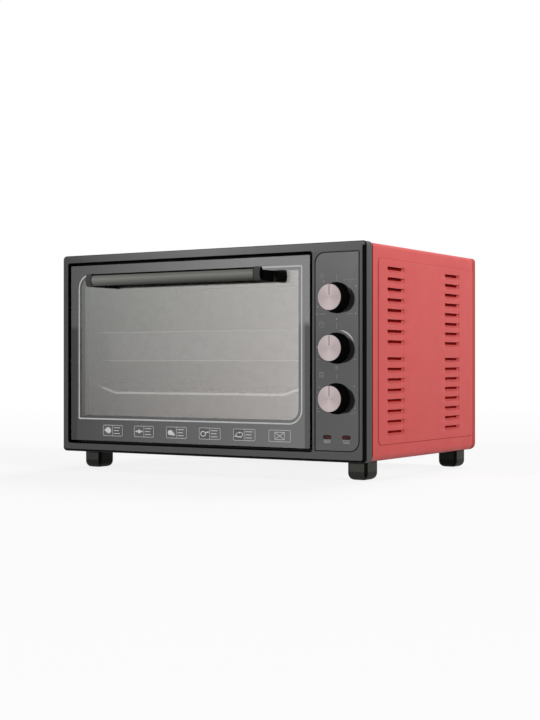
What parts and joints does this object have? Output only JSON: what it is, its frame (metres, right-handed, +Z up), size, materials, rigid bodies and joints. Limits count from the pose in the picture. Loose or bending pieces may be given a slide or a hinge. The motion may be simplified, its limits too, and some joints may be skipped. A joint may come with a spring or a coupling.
{
  "type": "mini oven",
  "caption": "Counter-top mini oven with a drop-down glass door, bar handle, control knobs on the right, louvred sides, wire rack and baking tray.",
  "frame": {"origin": "on the surface under the feet, in the middle of the oven's width and depth", "axes": "+X to the right seen from the front, +Y to the back, +Z up"},
  "size_m": [0.52, 0.4086, 0.321],
  "materials": {
    "graphite_plastic": "satin graphite grey",
    "panel_plastic": "satin graphite grey",
    "dark_steel": "black heat-resistant paint",
    "galvanised_steel": "galvanised",
    "red_enamel": "satin red powder coat",
    "foot_plastic": "matt black",
    "heater_sheath": "oxidised steel tube",
    "black_plastic": "black, low gloss",
    "plated_steel": "zinc plated",
    "door_glass": "toughened glass with a printed border",
    "handle_metal": "satin dark grey",
    "switch_plastic": "cream thermoset",
    "knob_silver": "brushed, faintly rose",
    "red_lens": "dark red",
    "chrome_wire": "bright",
    "tray_enamel": "dark vitreous enamel"
  },
  "bodies": {
    "housing": {"front_frame": "graphite_plastic", "control_panel": "panel_plastic", "chassis_collar": "dark_steel", "cavity_left_wall": "galvanised_steel", "cavity_right_wall": "galvanised_steel", "cavity_roof": "galvanised_steel", "cavity_floor": "galvanised_steel", "cavity_back": "galvanised_steel", "bottom_panel": "galvanised_steel", "back_panel": "galvanised_steel", "side_panel_left": "red_enamel", "side_panel_right": "red_enamel", "top_cover": "red_enamel", "foot_front_left": "foot_plastic", "foot_front_right": "foot_plastic", "foot_rear_left": "foot_plastic", "foot_rear_right": "foot_plastic", "heater_upper_front": "heater_sheath", "heater_upper_rear": "heater_sheath", "heater_lower_front": "heater_sheath", "heater_lower_rear": "heater_sheath", "cord_gland": "black_plastic", "back_screw_lower_left": "plated_steel", "back_screw_lower_right": "plated_steel", "back_screw_upper_left": "plated_steel", "back_screw_upper_right": "plated_steel", "timer_unit": "plated_steel", "thermostat_unit": "switch_plastic", "selector_unit": "switch_plastic", "indicator_lens_left": "red_lens", "indicator_lens_right": "red_lens"},
    "door": {"door_glass": "door_glass", "door_frame": "dark_steel", "hinge_pin_left": "plated_steel", "hinge_pin_right": "plated_steel", "handle_bar": "handle_metal", "handle_bracket_left": "black_plastic", "handle_bracket_right": "black_plastic", "handle_screw_left": "plated_steel", "handle_screw_right": "plated_steel"},
    "rack": {"wire_rack": "chrome_wire"},
    "tray": {"baking_tray": "tray_enamel"},
    "temperature_dial": {"temperature_knob": "black_plastic", "temperature_knob_cap": "knob_silver", "temperature_shaft": "plated_steel"},
    "timer_dial": {"timer_knob": "black_plastic", "timer_knob_cap": "knob_silver", "timer_shaft": "plated_steel"},
    "selector_dial": {"selector_knob": "black_plastic", "selector_knob_cap": "knob_silver", "selector_shaft": "plated_steel"}
  },
  "joints": [
    {"name": "door_hinge", "type": "hinge", "parent": "housing", "child": "door", "pos_m": [-0.0352, -0.16032, 0.0506], "axis": [1, 0, 0], "range_deg": [0, 90]},
    {"name": "temperature_turn", "type": "hinge", "parent": "housing", "child": "temperature_dial", "pos_m": [0.2165, -0.17, 0.246], "axis": [0, 1, 0], "range_deg": [0, 300]},
    {"name": "timer_turn", "type": "hinge", "parent": "housing", "child": "timer_dial", "pos_m": [0.2165, -0.17, 0.1786], "axis": [0, 1, 0], "range_deg": [0, 330]},
    {"name": "selector_turn", "type": "hinge", "parent": "housing", "child": "selector_dial", "pos_m": [0.2165, -0.17, 0.1112], "axis": [0, 1, 0], "range_deg": [0, 270]},
    {"name": "rack_slide", "type": "slide", "parent": "housing", "child": "rack", "axis": [0, -1, 0], "range_m": [0, 0.01]},
    {"name": "tray_slide", "type": "slide", "parent": "housing", "child": "tray", "axis": [0, -1, 0], "range_m": [0, 0.01]}
  ]
}
